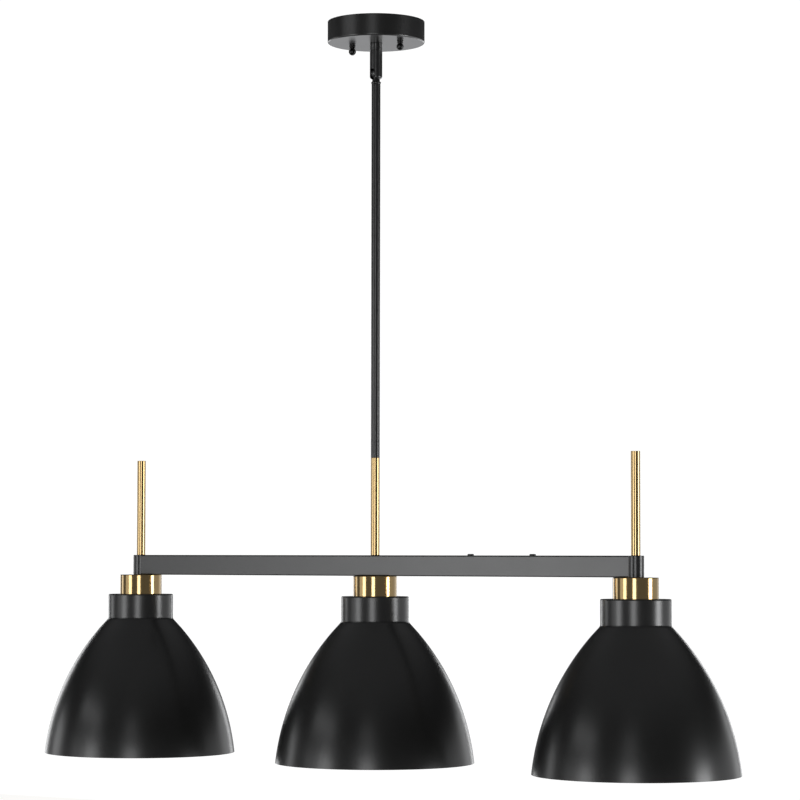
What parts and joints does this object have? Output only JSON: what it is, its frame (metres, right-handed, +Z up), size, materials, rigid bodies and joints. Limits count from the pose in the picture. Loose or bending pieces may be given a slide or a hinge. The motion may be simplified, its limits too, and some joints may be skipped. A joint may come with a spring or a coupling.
{
  "type": "linear island pendant",
  "caption": "Linear island pendant: bell shades on sockets under a rectangular bar, hung by a stacked rod and a hang-straight swivel from a round ceiling canopy.",
  "frame": {"origin": "centre of the mounting strap's top face, in the ceiling plane", "axes": "+X along the bar towards the lamp beyond the access cover, +Z up out of the ceiling face, front is -Y"},
  "size_m": [0.9602, 0.2434, 0.9128],
  "materials": {
    "black_enamel": "satin",
    "polished_brass": "polished",
    "zinc_steel": "satin",
    "spring_steel": "satin",
    "green_screw": "gloss",
    "lead_jacket": "matt",
    "connector_plastic": "gloss",
    "phenolic": "matt",
    "shell_aluminium": "satin",
    "contact_brass": "satin",
    "ring_plastic": "matt"
  },
  "bodies": {
    "ceiling_plate": {"box_strap": "zinc_steel", "canopy_strap": "zinc_steel", "strap_retainer": "zinc_steel", "ground_screw": "green_screw", "canopy_studs": "zinc_steel", "stud_nuts": "zinc_steel"},
    "canopy_unit": {"canopy": "black_enamel", "canopy_nipple": "zinc_steel", "canopy_spread_washer": "zinc_steel", "canopy_tooth_washer": "zinc_steel", "canopy_lock_nut": "zinc_steel", "supply_lead_upper": "lead_jacket", "wire_connectors": "connector_plastic", "swivel_collar": "black_enamel", "swivel_snap_ring": "spring_steel"},
    "knob_left": {"canopy_knob_left": "black_enamel"},
    "knob_right": {"canopy_knob_right": "black_enamel"},
    "swivel": {"swivel_housing": "black_enamel"},
    "hanging_frame": {"swivel_ball_stem": "black_enamel", "upper_downrod": "black_enamel", "lower_downrod": "black_enamel", "brass_stem": "polished_brass", "downrod_nipples": "zinc_steel", "stem_nipple": "zinc_steel", "stem_lock_nut": "zinc_steel", "supply_lead_lower": "lead_jacket", "bar_tube": "black_enamel", "bar_end_sleeve_left": "black_enamel", "bar_end_sleeve_right": "black_enamel", "bar_access_cover": "black_enamel", "cover_bridges": "zinc_steel", "cover_screws": "black_enamel", "terminal_block": "connector_plastic", "end_rod_left": "polished_brass", "end_rod_right": "polished_brass", "end_rod_studs": "zinc_steel", "end_rod_nuts": "zinc_steel", "lamp_nipples": "zinc_steel", "lamp_lock_nuts": "zinc_steel", "lamp_lead_left": "lead_jacket", "lamp_lead_center": "lead_jacket", "lamp_lead_right": "lead_jacket", "socket_contacts": "contact_brass", "cup_left": "polished_brass", "socket_body_left": "phenolic", "screw_shell_left": "shell_aluminium", "cup_center": "polished_brass", "socket_body_center": "phenolic", "screw_shell_center": "shell_aluminium", "cup_right": "polished_brass", "socket_body_right": "phenolic", "screw_shell_right": "shell_aluminium"},
    "shade_left_body": {"shade_left": "black_enamel"},
    "ring_left": {"shade_ring_left": "ring_plastic"},
    "shade_center_body": {"shade_center": "black_enamel"},
    "ring_center": {"shade_ring_center": "ring_plastic"},
    "shade_right_body": {"shade_right": "black_enamel"},
    "ring_right": {"shade_ring_right": "ring_plastic"}
  },
  "joints": [
    {"name": "canopy_drop", "type": "slide", "parent": "ceiling_plate", "child": "canopy_unit", "axis": [0, 0, -1], "range_m": [0, 0.004]},
    {"name": "knob_left_turn", "type": "hinge", "parent": "canopy_unit", "child": "knob_left", "pos_m": [-0.035, 0, -0.03], "axis": [0, 0, -1], "range_deg": [0, 1800]},
    {"name": "knob_right_turn", "type": "hinge", "parent": "canopy_unit", "child": "knob_right", "pos_m": [0.035, 0, -0.03], "axis": [0, 0, -1], "range_deg": [0, 1800]},
    {"name": "swivel_turn", "type": "hinge", "parent": "canopy_unit", "child": "swivel", "pos_m": [0, 0, -0.0357], "axis": [0, 0, 1], "range_deg": [-170, 170]},
    {"name": "swivel_tilt", "type": "hinge", "parent": "swivel", "child": "hanging_frame", "pos_m": [0, 0, -0.0637], "axis": [-0.9511, 0.309, 0], "range_deg": [0, 60]},
    {"name": "shade_left_drop", "type": "slide", "parent": "hanging_frame", "child": "shade_left_body", "axis": [0, 0, -1], "range_m": [0, 0.015]},
    {"name": "ring_left_turn", "type": "hinge", "parent": "shade_left_body", "child": "ring_left", "pos_m": [-0.3584, 0, -0.7145], "axis": [0, 0, -1], "range_deg": [0, 2160]},
    {"name": "shade_center_drop", "type": "slide", "parent": "hanging_frame", "child": "shade_center_body", "axis": [0, 0, -1], "range_m": [0, 0.015]},
    {"name": "ring_center_turn", "type": "hinge", "parent": "shade_center_body", "child": "ring_center", "pos_m": [0, 0, -0.7145], "axis": [0, 0, -1], "range_deg": [0, 2160]},
    {"name": "shade_right_drop", "type": "slide", "parent": "hanging_frame", "child": "shade_right_body", "axis": [0, 0, -1], "range_m": [0, 0.015]},
    {"name": "ring_right_turn", "type": "hinge", "parent": "shade_right_body", "child": "ring_right", "pos_m": [0.3584, 0, -0.7145], "axis": [0, 0, -1], "range_deg": [0, 2160]}
  ],
  "couplings": [
    {"joint": "knob_left_turn", "follows": "canopy_drop", "rad_per_m": 7854},
    {"joint": "knob_right_turn", "follows": "canopy_drop", "rad_per_m": 7854},
    {"joint": "ring_left_turn", "follows": "shade_left_drop", "rad_per_m": 2513.3},
    {"joint": "ring_center_turn", "follows": "shade_center_drop", "rad_per_m": 2513.3},
    {"joint": "ring_right_turn", "follows": "shade_right_drop", "rad_per_m": 2513.3}
  ]
}
